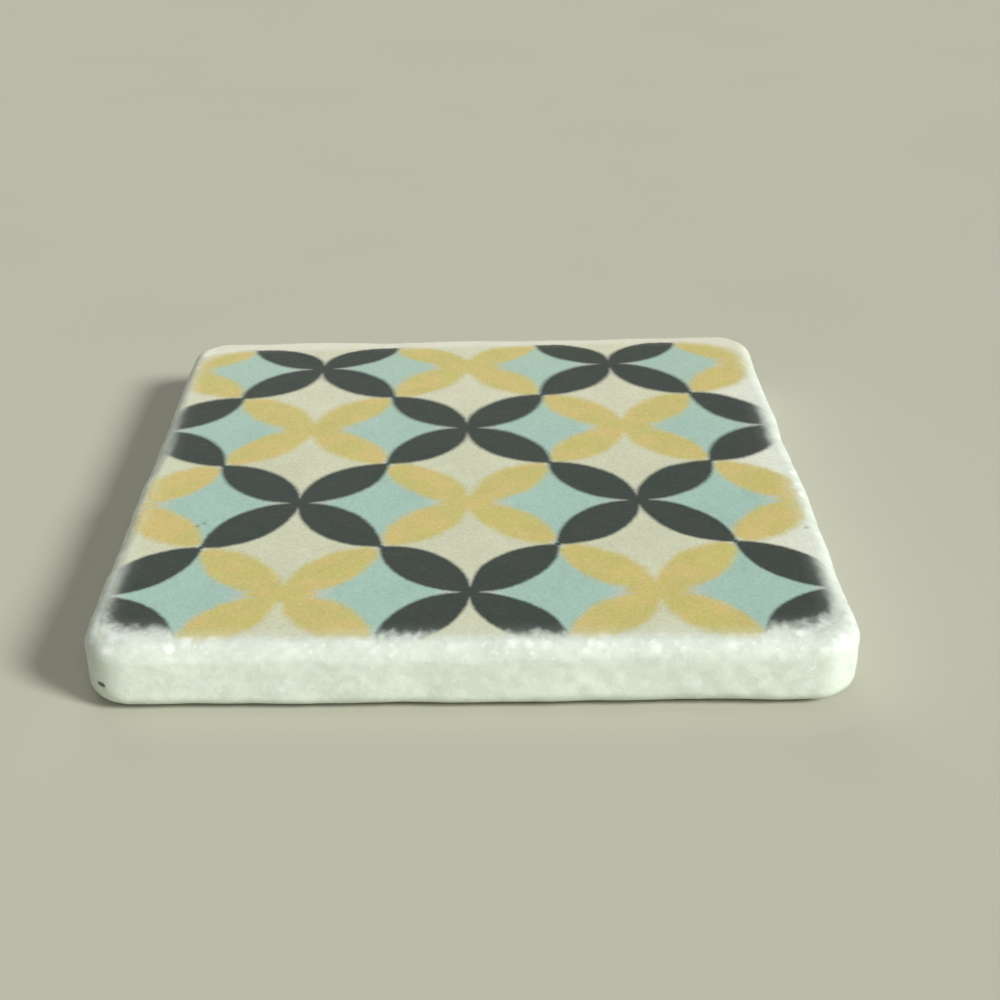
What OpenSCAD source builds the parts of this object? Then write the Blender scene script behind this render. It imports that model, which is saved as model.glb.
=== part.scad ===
// Drink coaster: a square tile of tumbled marble with a printed top, standing on four cork pads.
// The print is the old pattern of overlapping circles. Every circle passes through the middles of
// its four slanting neighbours, so two neighbours share a petal, and what no neighbour covers is a
// star with four points. Petals and stars together fill the whole print without a gap.
// Front is -Y, right is +X and up is +Z. The origin is on the table, under the middle of the tile.

/* [Stone tile] */
// Width of the tile from left to right
tile_w = 100; // [80:0.5:140]
// Depth of the tile from front to back
tile_d = 101; // [80:0.5:140]
// Thickness of the stone
tile_t = 9.5; // [8:0.1:16]
// Radius of the worn corners, seen from above
corner_r = 6; // [4:0.1:10]
// Radius to which tumbling wore the top edge
top_edge_r = 2.5; // [1:0.1:3.6]
// Radius to which tumbling wore the bottom edge
bottom_edge_r = 2.2; // [1:0.1:3.6]

/* [Print] */
// Distance between two crossings of the pattern, one whole circle
pattern_pitch = 25; // [15:0.1:40]
// Distance of the middle dark crossing to the right of the tile's middle
pattern_x = -0.9; // [-10:0.1:10]
// Distance of the middle dark crossing behind the tile's middle
pattern_y = 12.3; // [-15:0.1:15]
// Turn of the whole print on the tile, in degrees
pattern_turn = 0.6; // [-3:0.1:3]
// Bare stone between the print and the start of the rounded edge
print_margin = 0.3; // [0.1:0.1:5]
// Radius of the spot of dark ink where the tips of dark petals meet
dark_spot_r = 0.8; // [0.4:0.1:1.5]
// Radius of the wider spot where the tips of four light petals run together
light_spot_r = 3; // [0.4:0.1:4]
// Thickness of the layer of ink
ink_t = 0.1; // [0.05:0.01:0.3]

/* [Cork pads] */
// Diameter of a cork pad
pad_d = 12.7; // [8:0.1:20]
// Thickness of the cork
cork_t = 0.6; // [0.5:0.1:4]
// Bevel pressed round the lower rim of the cork
cork_bevel = 0.2; // [0.1:0.05:0.4]
// Distance of a pad's middle from the nearest two sides of the tile
pad_inset = 15; // [11:0.5:25]
// Thickness of the adhesive that holds a pad
adhesive_t = 0.1; // [0.05:0.05:0.5]
// Step from the rim of the cork in to the rim of the adhesive
adhesive_step = 0.3; // [0.1:0.1:1]

/* [Hidden] */
$fn = 96;
// How far cutting shapes run past what they cut
overrun = 0.5;
// Heights of the faces that lie on one another
tile_z = cork_t + adhesive_t;
print_z = tile_z + tile_t;
// Straight part of the sides, between the worn corners
straight_w = tile_w - 2 * corner_r;
straight_d = tile_d - 2 * corner_r;
// Outline of the print, which follows the flat of the top
print_inset = top_edge_r + print_margin;
print_w = tile_w - 2 * print_inset;
print_d = tile_d - 2 * print_inset;
print_r = max(corner_r - print_inset, print_margin);
// Every crossing and every middle of a circle lies on a grid of half pitches. A place on it is
// [across, back] from the middle dark crossing. Where the two add up to an odd number a circle
// has its middle, and where they add up to an even one the tips of four petals meet.
half_pitch = pattern_pitch / 2;
reach = ceil((max(print_w, print_d) / 2 + max(abs(pattern_x), abs(pattern_y))) / half_pitch) + 1;
grid = [for (across = [-reach : reach], back = [-reach : reach]) [across, back]];

// True where a shape of one circle's size can touch the print
function near_print(place) =
    abs(pattern_x + place[0] * half_pitch) < print_w / 2 + pattern_pitch
    && abs(pattern_y + place[1] * half_pitch) < print_d / 2 + pattern_pitch;
function is_even(number) = abs(number) % 2 == 0;
function is_crossing(place) = is_even(place[0]) && is_even(place[1]);
function is_dark_crossing(place) = is_crossing(place) && is_even((place[0] + place[1]) / 2);
function is_light_crossing(place) = is_crossing(place) && !is_even((place[0] + place[1]) / 2);
function is_mixed_tip(place) = !is_even(place[0]) && !is_even(place[1]);
function is_aqua(place) = !is_even(place[0]) && is_even(place[1]);
function is_cream(place) = is_even(place[0]) && !is_even(place[1]);
near_grid = [for (place = grid) if (near_print(place)) place];

// Waste outside a quarter round of radius r, whose middle is at the origin
module round_waste(r) {
    difference() {
        square(r + overrun);
        circle(r);
    }
}

// Section of the stone's edge from the middle of a corner outward, with both worn edges
module edge_section() {
    difference() {
        square([corner_r, tile_t]);
        translate([corner_r - top_edge_r, tile_t - top_edge_r])
            round_waste(top_edge_r);
        translate([corner_r - bottom_edge_r, bottom_edge_r])
            mirror([0, 1])
                round_waste(bottom_edge_r);
    }
}

// One worn corner, a quarter turn of the edge section, for the right rear of the tile
module worn_corner() {
    translate([straight_w / 2, straight_d / 2, 0])
        rotate_extrude(angle = 90)
            edge_section();
}

// Edge section drawn along a side of the given length, which faces +X at the given distance
module worn_side(length, distance) {
    translate([distance, length / 2, 0])
        rotate([90, 0, 0])
            linear_extrude(length)
                edge_section();
}

module stone_tile() {
    color("#dfe4d8")
    translate([0, 0, tile_z])
    union() {
        translate([-straight_w / 2, -straight_d / 2, 0])
            cube([straight_w, straight_d, tile_t]);
        for (turn = [0, 180]) {
            rotate(turn)
                worn_side(straight_d, straight_w / 2);
            rotate(turn + 90)
                worn_side(straight_w, straight_d / 2);
            rotate(turn) {
                worn_corner();
                mirror([1, 0, 0])
                    worn_corner();
            }
        }
    }
}

// Outline of the print, with rounded corners
module print_area() {
    for (across = [-1, 1], back = [-1, 1])
        translate([across * (print_w / 2 - print_r), back * (print_d / 2 - print_r)])
            circle(print_r);
    square([print_w - 2 * print_r, print_d], center = true);
    square([print_w, print_d - 2 * print_r], center = true);
}

// Moves its children to a place on the grid of half pitches
module at(place) {
    translate([place[0] * half_pitch, place[1] * half_pitch])
        children();
}

// One circle of the pattern
module ring_disc(place) {
    at(place)
        circle(half_pitch);
}

// Four petals round a crossing, each shared by two circles, and the spot that joins them
module flower(place, spot_r) {
    for (across = [-1, 1], back = [-1, 1])
        intersection() {
            ring_disc(place + [across, 0]);
            ring_disc(place + [0, back]);
        }
    at(place)
        circle(spot_r);
}

// Radius of the spot at a place where petal tips meet
function spot_r(place) = is_light_crossing(place) ? light_spot_r : dark_spot_r;

// What is left of a circle under its four slanting neighbours, with blunt points
module star(place) {
    difference() {
        ring_disc(place);
        for (across = [-1, 1], back = [-1, 1])
            ring_disc(place + [across, back]);
        for (step = [[-1, 0], [1, 0], [0, -1], [0, 1]])
            at(place + step)
                circle(spot_r(place + step));
    }
}

// Spots of dark ink where two dark and two light petal tips meet
module mixed_spots() {
    for (place = near_grid)
        if (is_mixed_tip(place))
            at(place)
                circle(dark_spot_r);
}

// Lays flat ink on the stone, turned with the print and cut off at its outline
module ink() {
    translate([0, 0, print_z])
        linear_extrude(ink_t)
            intersection() {
                print_area();
                translate([pattern_x, pattern_y])
                    rotate(pattern_turn)
                        children();
            }
}

module cream_stars() {
    color("#dfe0c6")
    ink()
        for (place = near_grid)
            if (is_cream(place))
                star(place);
}

module aqua_stars() {
    color("#b2d0c0")
    ink()
        for (place = near_grid)
            if (is_aqua(place))
                star(place);
}

module mustard_petals() {
    color("#ccc179")
    ink()
        difference() {
            for (place = near_grid)
                if (is_light_crossing(place))
                    flower(place, light_spot_r);
            mixed_spots();
        }
}

module charcoal_petals() {
    color("#535c55")
    ink() {
        for (place = near_grid)
            if (is_dark_crossing(place))
                flower(place, dark_spot_r);
        mixed_spots();
    }
}

// Moves its children to a corner of the underside; across and back are -1 or 1
module at_pad(across, back) {
    translate([across * (tile_w / 2 - pad_inset), back * (tile_d / 2 - pad_inset), 0])
        children();
}

// A round cork pad on the table, with a bevel round its lower rim
module cork_pad() {
    rim_r = pad_d / 2;
    color("#b98d5f")
    rotate_extrude()
        polygon([
            [0, 0],
            [rim_r - cork_bevel, 0],
            [rim_r, cork_bevel],
            [rim_r, cork_t],
            [0, cork_t]
        ]);
}

// The disc of adhesive between a cork pad and the stone
module adhesive() {
    color("#d9c9a3")
    translate([0, 0, cork_t])
        cylinder(h = adhesive_t, r = pad_d / 2 - adhesive_step);
}

stone_tile();
cream_stars();
aqua_stars();
mustard_petals();
charcoal_petals();
at_pad(-1, -1) cork_pad();  // cork_pad_front_left
at_pad(1, -1) cork_pad();  // cork_pad_front_right
at_pad(-1, 1) cork_pad();  // cork_pad_rear_left
at_pad(1, 1) cork_pad();  // cork_pad_rear_right
at_pad(-1, -1) adhesive();  // adhesive_front_left
at_pad(1, -1) adhesive();  // adhesive_front_right
at_pad(-1, 1) adhesive();  // adhesive_rear_left
at_pad(1, 1) adhesive();  // adhesive_rear_right
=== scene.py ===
# %% [markdown]
# # A drink coaster of tumbled marble
#
# The real coaster is a square tile of white marble that has been tumbled with grit until its edges
# and corners are soft. A pattern of overlapping circles is printed on its flat top in four inks,
# and four dots of cork under it keep it off the table. The CAD model gives every place and size, so
# this lesson dresses it: it gives the stone its worn shape and grain, the inks their soft and rubbed
# edges, and the cork its granules.
#
# The first step loads the CAD model.

# %% Load the CAD model
import math
import bpy
import numpy as np
from mathutils import Matrix, Vector


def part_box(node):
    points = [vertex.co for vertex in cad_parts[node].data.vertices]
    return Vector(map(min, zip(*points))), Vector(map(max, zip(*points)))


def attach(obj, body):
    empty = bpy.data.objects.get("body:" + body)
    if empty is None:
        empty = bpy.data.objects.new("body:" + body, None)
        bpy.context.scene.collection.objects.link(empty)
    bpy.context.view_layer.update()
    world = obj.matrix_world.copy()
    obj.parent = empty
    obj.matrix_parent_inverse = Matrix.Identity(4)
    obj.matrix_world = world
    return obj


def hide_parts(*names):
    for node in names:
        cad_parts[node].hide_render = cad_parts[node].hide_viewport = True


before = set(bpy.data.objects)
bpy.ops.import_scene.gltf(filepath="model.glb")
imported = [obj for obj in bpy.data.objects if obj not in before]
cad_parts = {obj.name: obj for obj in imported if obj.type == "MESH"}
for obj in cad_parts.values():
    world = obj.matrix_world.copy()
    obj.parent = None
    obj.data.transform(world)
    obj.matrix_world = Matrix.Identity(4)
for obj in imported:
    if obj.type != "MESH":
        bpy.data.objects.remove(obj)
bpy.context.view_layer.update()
print("CAD nodes:", ", ".join(sorted(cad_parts)))

# %% [markdown]
# Blender works in metres and a coaster is thought of in millimetres, so shapes here are worked out
# in millimetres and turned into metres when a mesh is made. What the CAD model knows is read from
# its boxes. The radii of the worn edges don't show in a box, so they are named here.

# %% Sizes of the tile
MM = 0.001


def node_box(name):
    """Lowest and highest corner of a CAD node, in millimetres."""
    return [np.array(corner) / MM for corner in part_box(name)]


tile_low, tile_high = node_box("stone_tile")
half_tile = tile_high[:2]
top_z = tile_high[2]
under_z = tile_low[2]
corner_r = 6.0
top_edge_r = 2.5
under_edge_r = 2.2
print("Tile in mm:", (tile_high - tile_low).round(2), "top at", round(top_z, 2))

# %% [markdown]
# ## Tools for making meshes
#
# Every new piece is a surface worked out with numpy. A piece is a list of points and a list of
# faces, and one helper turns them into a Blender object that rides on the coaster's body, stands
# for its CAD nodes and is shaded smooth, except where two faces meet at a sharp angle.

# %% Make a piece from points and faces
sharp_angle = math.radians(50)


def make_piece(name, points, face_sets, nodes):
    """A mesh object from points in millimetres; it replaces the CAD nodes, which it hides.
    Its faces come as whole arrays, one row of point numbers for each face."""
    mesh = bpy.data.meshes.new(name)
    faces = sum([face_set.tolist() for face_set in face_sets], [])
    mesh.from_pydata((points * MM).tolist(), [], faces)
    mesh.polygons.foreach_set("use_smooth", [True] * len(mesh.polygons))
    mesh.validate()
    mesh.update()
    mesh.set_sharp_from_angle(angle=sharp_angle)
    piece = bpy.data.objects.new(name, mesh)
    bpy.context.scene.collection.objects.link(piece)
    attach(piece, "root")
    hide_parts(*nodes)
    print(name, "has", len(mesh.vertices), "points and", len(mesh.polygons), "faces")
    return piece


# %% [markdown]
# Stone that has been tumbled is never quite even. Its unevenness is smooth, with no repeat, and it
# has a size of its own. A sum of many sine waves that run in random directions, each about as long
# as that size, gives just this. The random numbers are seeded, so each run makes the same stone.

# %% Smooth random waves
def waves(places, size, seed, count=36):
    """Smooth noise of spread 1: a sum of sine waves about size long, each in its own direction."""
    random = np.random.default_rng(seed)
    direction = random.normal(size=(count, 3))
    direction /= np.linalg.norm(direction, axis=1, keepdims=True)
    length = size * random.uniform(0.7, 1.5, count)
    phase = random.uniform(0, 2 * np.pi, count)
    angle = places @ (direction / length[:, None]).T * 2 * np.pi + phase
    return np.sin(angle).sum(axis=-1) * math.sqrt(2 / count)


trial_line = np.linspace(0, 500, 5000)[:, None] * np.array([1.0, 0.0, 0.0])
print("Spread of the waves on a long line:", waves(trial_line, size=5, seed=1).std().round(2))

# %% [markdown]
# ## The stone
#
# Seen from above the tile is a rectangle with round corners. Its outline is walked once round in
# four runs, each from the middle of one corner to the middle of the next, so that a run can later
# be the border of a square grid. A run has a straight stretch between two eighths of a circle.

# %% The outline of the tile
grid_count = 168
side_turns = [(1, 0, 0, -1), (0, 1, 1, 0), (-1, 0, 0, 1), (0, -1, -1, 0)]


def outline_run(side):
    """Points and outward directions on one side. The way along is a straight stretch, and what is
    left of it at either end becomes an angle on the corner's circle."""
    along_x, along_y, out_x, out_y = side_turns[side]
    half_long = half_tile[0] if along_x else half_tile[1]
    half_wide = half_tile[1] if along_x else half_tile[0]
    straight_end = half_long - corner_r
    run_end = straight_end + corner_r * np.pi / 4
    way = np.linspace(-run_end, run_end, grid_count)
    straight = np.clip(way, -straight_end, straight_end)
    angle = (way - straight) / corner_r
    along = straight + corner_r * np.sin(angle)
    out = half_wide - corner_r + corner_r * np.cos(angle)
    points = np.outer(along, (along_x, along_y)) + np.outer(out, (out_x, out_y))
    normals = np.outer(np.sin(angle), (along_x, along_y)) + np.outer(np.cos(angle), (out_x, out_y))
    return points, normals


runs = [outline_run(side) for side in range(4)]
outline = np.concatenate([points[:-1] for points, normals in runs])
outward = np.concatenate([normals[:-1] for points, normals in runs])
print("The outline has", len(outline), "points")

# %% [markdown]
# Tumbling leaves the sides slightly wavy and rounds the edges unevenly. Both are worked out from the
# place on the outline alone, so that the stone and the ink that lies on its edge agree exactly. All
# depths are in millimetres, and wear is a share of an edge's radius.

# %% How tumbling wore the edges
side_wave, short_share, most_drawn_in = 0.08, 0.4, 0.2
long_wear, short_wear, corner_wear = 0.08, 0.02, 0.1
least_wear, most_wear = 0.75, 1.35


def lift_up(flat, height):
    """Points in the plane, with a height given to each."""
    return np.concatenate([flat, np.full(flat.shape[:-1] + (1,), float(height))], axis=-1)


def drawn_in(flat):
    """How far wear has drawn a side in, in millimetres, or left it standing proud if negative."""
    place = lift_up(flat, 0)
    rough = waves(place, size=24, seed=11) + short_share * waves(place, size=8, seed=12)
    return np.clip(side_wave * rough, -most_drawn_in, most_drawn_in)


def edge_radius(flat, direction, radius, seed):
    """Radius of a worn edge: uneven along the sides, and a little larger at the corners, where the
    direction is slanting."""
    corner = (2 * direction[..., 0] * direction[..., 1]) ** 2
    place = lift_up(flat, 0)
    long_waves, short_waves = waves(place, size=18, seed=seed), waves(place, size=7, seed=seed + 1)
    wear = 1 + (long_wear * long_waves + short_wear * short_waves) + corner_wear * corner
    return radius * np.clip(wear, least_wear, most_wear)


side_in = drawn_in(outline)
print("Sides are drawn in by", side_in.min().round(2), "to", side_in.max().round(2), "mm")

# %% [markdown]
# The tile isn't quite square either: its rear side leans, and is nearer on the left than on the
# right. The shapes are worked out square, and then this lean moves them. The other way round, a
# place on the real tile is squared up to find what lies there.

# %% The leaning rear side
rear_lean_start, rear_lean_length = 15.0, 35.0
rear_lean_slope, rear_lean_shift = 0.026, -0.1


def lean(flat):
    """How far the lean of the rear side moves a place back: a slope from left to right, times a
    share that grows as the square of the way behind rear_lean_start."""
    share = np.clip((flat[..., 1] - rear_lean_start) / rear_lean_length, 0, None) ** 2
    return (rear_lean_slope * flat[..., 0] + rear_lean_shift) * share


def lean_back(points):
    """Points of the square shape, moved by the lean."""
    moved = np.array(points)
    moved[..., 1] += lean(points)
    return moved


def square_up(flat):
    """The place on the square shape that the lean moves to this place, found in a few rounds."""
    square = np.array(flat)
    for _ in range(3):
        square[..., 1] = flat[..., 1] - lean(square)
    return square


rear_moves = lean(outline)
print("The rear side moves by", rear_moves.min().round(2), "to", rear_moves.max().round(2), "mm")

# %% [markdown]
# Last comes the fine unevenness that a fingertip feels. It is slight on the ground top and deeper on
# the tumbled sides, where crystals have broken out and left small pits as well.

# %% Fine relief
top_broad, top_small = 0.02, 0.008
side_broad, side_small, side_pits = 0.022, 0.01, 0.012


def relief(points, tilt):
    """Height of the stone's fine unevenness: slight on the flat top, where tilt is 0, and deeper
    on the sides, where tilt is 1."""
    broad = waves(points, size=9, seed=21)
    small = waves(points, size=3.2, seed=22)
    pitted = np.minimum(waves(points, size=2.1, seed=23), 0)
    on_sides = side_broad * broad + side_small * small + side_pits * pitted
    return top_broad * broad + top_small * small + tilt * on_sides


side_spread = round(top_broad + side_broad, 3)
print("Broad waves spread", top_broad, "mm on the top and", side_spread, "mm on the sides")

# %% [markdown]
# The side of the tile is a belt of rings. The first rings go round the worn top edge, from lying
# flat to standing upright, then come the upright rings of the side, and the last go round the worn
# lower edge. Each ring is the whole outline moved in and down by the edge's own quarter circle. The
# lower edge is worn a little less than the top one.

# %% The belt round the sides
top_steps, wall_steps, under_steps = 12, 7, 10
top_wear_seed, under_wear_seed = 31, 41
under_wear = 0.93
top_r = edge_radius(outline, outward, top_edge_r, top_wear_seed)
under_r = under_wear * edge_radius(outline, outward, under_edge_r, under_wear_seed)


def belt_ring(inset, height, tilt, up):
    """One ring: the outline moved in by inset at that height, and roughened along its normal, whose
    outward part is tilt and whose upward part is up."""
    flat = outline - outward * inset[:, None]
    points = np.column_stack([flat, height])
    normals = np.column_stack([outward * tilt, np.full(len(outline), up)])
    depth = relief(points, tilt) if up >= 0 else relief(points, tilt) * tilt
    return points + normals * depth[:, None]


rings = []
for angle in np.linspace(0, np.pi / 2, top_steps + 1):
    sine, cosine = np.sin(angle), np.cos(angle)
    rings.append(belt_ring(side_in + top_r * (1 - sine), top_z - top_r * (1 - cosine), sine, cosine))
for share in np.linspace(0, 1, wall_steps + 1)[1:-1]:
    height = (1 - share) * (top_z - top_r) + share * (under_z + under_r)
    rings.append(belt_ring(side_in, height, 1.0, 0.0))
for angle in np.linspace(np.pi / 2, 0, under_steps + 1):
    sine, cosine = np.sin(angle), np.cos(angle)
    ring = belt_ring(side_in + under_r * (1 - sine), under_z + under_r * (1 - cosine), sine, -cosine)
    rings.append(ring)
belt = np.array(rings)
belt_low, belt_high = belt.min((0, 1)).round(2), belt.max((0, 1)).round(2)
print("The belt has", len(belt), "rings; its box is", belt_low, belt_high)

# %% [markdown]
# The top and the underside are square grids that fit inside the belt. A grid whose four borders
# are given is filled by mixing opposite borders and taking away the mix of the corners, which is
# known as a Coons patch. The squares stay nearly even, so the relief is even too. The top takes the
# stone's slight relief, and the underside stays flat, because it was sawn and the pads sit on it.

# %% Fill a ring with a grid
def fill_grid(ring):
    """A square grid of points in the plane whose border is the ring: the mix of front and rear,
    plus the mix of left and right, minus the mix of the four corners."""
    last = grid_count - 1
    closed = np.concatenate([ring, ring[:1]])[:, :2]
    front, right, rear, left = (closed[side * last:(side + 1) * last + 1] for side in range(4))
    rear, left = rear[::-1], left[::-1]
    share = np.linspace(0, 1, grid_count)[:, None]
    across, back = share[None], share[:, None]
    sides = (1 - back) * front[None] + back * rear[None]
    sides = sides + (1 - across) * left[:, None] + across * right[:, None]
    corners = (1 - back) * ((1 - across) * front[0] + across * front[-1])
    corners = corners + back * ((1 - across) * rear[0] + across * rear[-1])
    return sides - corners


top_flat = fill_grid(outline - outward * (side_in + top_r)[:, None])
top_grid = lift_up(top_flat, top_z)
top_grid[..., 2] += relief(top_grid, 0)
under_grid = lift_up(fill_grid(belt[-1]), under_z)
print("The top grid runs from", top_flat.min((0, 1)).round(2), "to", top_flat.max((0, 1)).round(2))

# %% Sew the grids and the belt together
def grid_faces(numbers, flip=False):
    """Four-sided faces of a grid of point numbers."""
    corners = [numbers[:-1, :-1], numbers[:-1, 1:], numbers[1:, 1:], numbers[1:, :-1]]
    faces = np.stack(corners, axis=-1).reshape(-1, 4)
    return faces[:, ::-1] if flip else faces


def fan_faces(pole, ring):
    """Three-sided faces from one point to each step of a closed ring of point numbers."""
    return np.column_stack([np.full(len(ring) - 1, pole), ring[:-1], ring[1:]])


def border_numbers(numbers):
    """Point numbers round the border of a grid, in the order of the outline."""
    sides = [numbers[0, :-1], numbers[:-1, -1], numbers[-1, :0:-1], numbers[:0:-1, 0]]
    return np.concatenate(sides)


top_numbers = np.arange(grid_count ** 2).reshape(grid_count, grid_count)
under_numbers = top_numbers + grid_count ** 2
ring_count, ring_length = len(belt) - 2, len(outline)
inner_numbers = np.arange(ring_count * ring_length).reshape(ring_count, ring_length)
inner_numbers += 2 * grid_count ** 2
belt_numbers = np.vstack([border_numbers(top_numbers), inner_numbers, border_numbers(under_numbers)])
belt_numbers = np.column_stack([belt_numbers, belt_numbers[:, 0]])
tile_points = [points.reshape(-1, 3) for points in (top_grid, under_grid, belt[1:-1])]
tile_points = lean_back(np.concatenate(tile_points))
tile_faces = [
    grid_faces(top_numbers),
    grid_faces(under_numbers, flip=True),
    grid_faces(belt_numbers, flip=True),
]
marble_tile = make_piece("marble_tile", tile_points, tile_faces, ["stone_tile"])

# %% [markdown]
# ## The print
#
# Ink lies on the stone as a film. To lay a point of the film, its place seen from above is enough:
# the nearest place on the outline says how the edge is worn there, and that gives the height and
# the direction in which the stone faces, on the flat and on the first part of the worn edge.

# %% Find the stone's surface under a place
tiny = 1e-9


def on_top(flat, lift):
    """Points on the stone at places seen from above, raised by lift along the stone's normal."""
    square = square_up(flat)
    core = np.clip(square, -(half_tile - corner_r), half_tile - corner_r)
    beyond = square - core
    distance = np.linalg.norm(beyond, axis=-1, keepdims=True)
    direction = beyond / np.maximum(distance, tiny)
    rim = core + direction * corner_r
    inset = corner_r - distance[..., 0] - drawn_in(rim)
    radius = edge_radius(rim, direction, top_edge_r, top_wear_seed)
    sine = np.clip(1 - inset / radius, 0, 1)
    cosine = np.sqrt(1 - sine ** 2)
    points = np.concatenate([square, (top_z - radius * (1 - cosine))[..., None]], axis=-1)
    normals = np.concatenate([direction * sine[..., None], cosine[..., None]], axis=-1)
    return lean_back(points + normals * (relief(points, sine) + lift)[..., None])


print("The middle of the top is at", on_top(np.zeros((1, 2)), np.zeros(1)).round(3))

# %% [markdown]
# The pattern is worked out on its own grid of half pitches, as in the CAD model. A place where the
# two numbers add up to an odd number is the middle of a circle. Two slanting neighbours overlap in
# a petal, and what its four neighbours leave of a circle is a star.
#
# Towards the rear the print leans like the tile, only more, and its last row of petals is crowded:
# it is shorter than the others.

# %% From the pattern to the tile
pitch = 25.0
half_pitch = pitch / 2
pattern_middle = np.array([-0.9, 12.3])
pattern_turn = math.radians(0.6)
crowd_start, crowd = 36.0, 0.0264
lean_start, lean_length = 2.0, 35.0
lean_slope, lean_shift = 0.026, -0.3


def to_tile(place):
    """A place of the pattern, in millimetres, turned and moved onto the tile. Behind crowd_start
    the way from there is shortened: way + crowd * way squared gives the way on the pattern, so the
    way on the tile is the root of that. The lean is added in a few rounds."""
    x = place[..., 0] * math.cos(pattern_turn) - place[..., 1] * math.sin(pattern_turn)
    y = place[..., 0] * math.sin(pattern_turn) + place[..., 1] * math.cos(pattern_turn)
    x, y = x + pattern_middle[0], y + pattern_middle[1]
    far = np.maximum(y - crowd_start, 0)
    upright = y - far + (np.sqrt(1 + 4 * crowd * far) - 1) / (2 * crowd)
    leaning = upright
    for _ in range(4):
        share = np.maximum(leaning - lean_start, 0) / lean_length
        leaning = upright + (lean_slope * x + lean_shift) * share ** 2
    return np.stack([x, leaning], axis=-1)


print("The middle crossing lies at", to_tile(np.zeros(2)).round(2), "mm on the tile")

# %% [markdown]
# A shape is described by a function that says how far inside it a place is. That makes it easy to
# take shapes together: inside both is the smaller of the two numbers, and cutting one shape out of
# another is the smaller of the one and minus the other.

# %% Shapes of the pattern
dark_spot_r = 0.8
light_spot_r = 3.0
film_inset = 1.2
film_corner_r = corner_r - film_inset


def in_circle(place, middle, radius=half_pitch):
    """How far inside a circle a place is. The middle is counted in half pitches."""
    return radius - np.linalg.norm(place - np.array(middle) * half_pitch, axis=-1)


def in_film(place):
    """How far inside the outline of the print a place is: a rectangle with round corners."""
    beyond = np.abs(square_up(to_tile(place))) - (half_tile - film_inset - film_corner_r)
    outside = np.linalg.norm(np.maximum(beyond, 0), axis=-1)
    return film_corner_r - outside - np.minimum(beyond.max(axis=-1), 0)


def spot_radius(middle):
    """Where the tips of petals meet there is a spot of ink, wide at a crossing of light petals."""
    across, back = middle
    is_light = across % 2 == 0 and back % 2 == 0 and (across + back) % 4 == 2
    return light_spot_r if is_light else dark_spot_r


print("Radius of the spot at a light crossing:", spot_radius((2, 0)), "mm")
print("Radius of the spot at a dark crossing:", spot_radius((0, 0)), "mm")

# %% [markdown]
# Each island of ink is a film with a top, a rim and an underside, so that it is a closed solid. It
# is drawn as rings round a middle: from the middle, a straight line is followed in every direction
# until the shape ends, and the rings are shares of that way, closer together near its end. Near the
# outer limit of the print the film dips into the stone, where its ink is rubbed off anyway, so no
# step can be seen.

# %% Draw one island of ink
ink_proud, ink_sunk = 0.02, 0.03
dip_width = 1.2
longest_way = 0.8 * pitch
walk_step = 0.04
line_count = 720
bunching = 1.5


def shape_border(middle, inside, count):
    """Border of a shape round a middle: the first place on each line where inside is below zero,
    then spaced evenly along the border."""
    angles = np.linspace(0, 2 * np.pi, line_count, endpoint=False)
    direction = np.stack([np.cos(angles), np.sin(angles)], axis=-1)
    reach = np.arange(0, longest_way, walk_step)
    value = inside(middle + direction[:, None] * reach[None, :, None])
    step = np.argmax(value < 0, axis=1)
    rows = np.arange(len(angles))
    before, after = value[rows, step - 1], value[rows, step]
    border = middle + direction * (reach[step] - walk_step * after / (after - before))[:, None]
    closed = np.concatenate([border, border[:1]])
    way = np.concatenate([[0], np.cumsum(np.linalg.norm(np.diff(closed, axis=0), axis=1))])
    even = np.linspace(0, way[-1], count, endpoint=False)
    return np.stack([np.interp(even, way, closed[:, axis]) for axis in (0, 1)], axis=-1)


def ink_island(middle, inside, count, rings):
    """Points and faces of one closed film of ink round a middle, given in millimetres."""
    border = shape_border(middle, inside, count)
    shares = 1 - np.linspace(1, 0, rings + 1)[1:] ** bunching
    flat = middle + shares[:, None, None] * (border - middle)
    flat = np.concatenate([flat, flat[-1:]])
    near_limit = np.clip(in_film(flat) / dip_width, 0, 1)
    lift = near_limit * (ink_proud + ink_sunk) - ink_sunk
    lift[-1] = -2 * ink_sunk
    shell = on_top(to_tile(flat), lift).reshape(-1, 3)
    poles = on_top(to_tile(np.array([middle, middle])), np.array([ink_proud, lift[-1, 0]]))
    numbers = np.arange(len(shell)).reshape(rings + 1, count)
    numbers = np.column_stack([numbers, numbers[:, 0]])
    upper, lower = len(shell), len(shell) + 1
    top, under = fan_faces(upper, numbers[0]), fan_faces(lower, numbers[-1, ::-1])
    return np.concatenate([shell, poles]), [grid_faces(numbers, flip=True), top, under]


# %% [markdown]
# An island needs a middle from which its whole border can be seen. That is the middle of the star
# or petal, and where the limit of the print cuts through it, the nearest place that still lies well
# inside. Islands that would be smaller than a crumb are left out.

# %% Draw all islands of one ink
least_island = 0.35
search_step = 0.1


def pull_inside(middle, inside):
    """Moves a middle towards the middle of the tile until it lies well inside its shape."""
    place = np.array(middle) * half_pitch
    towards = -(place + pattern_middle)
    towards /= max(np.linalg.norm(towards), tiny)
    axis = np.abs(to_tile(place)) > half_tile - film_inset - least_island
    towards = np.where(axis, towards, 0) if axis.any() else towards
    towards /= max(np.linalg.norm(towards), tiny)
    for way in np.arange(0, half_pitch, search_step):
        if inside(place + way * towards) > least_island:
            return place + way * towards
    return None


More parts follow.
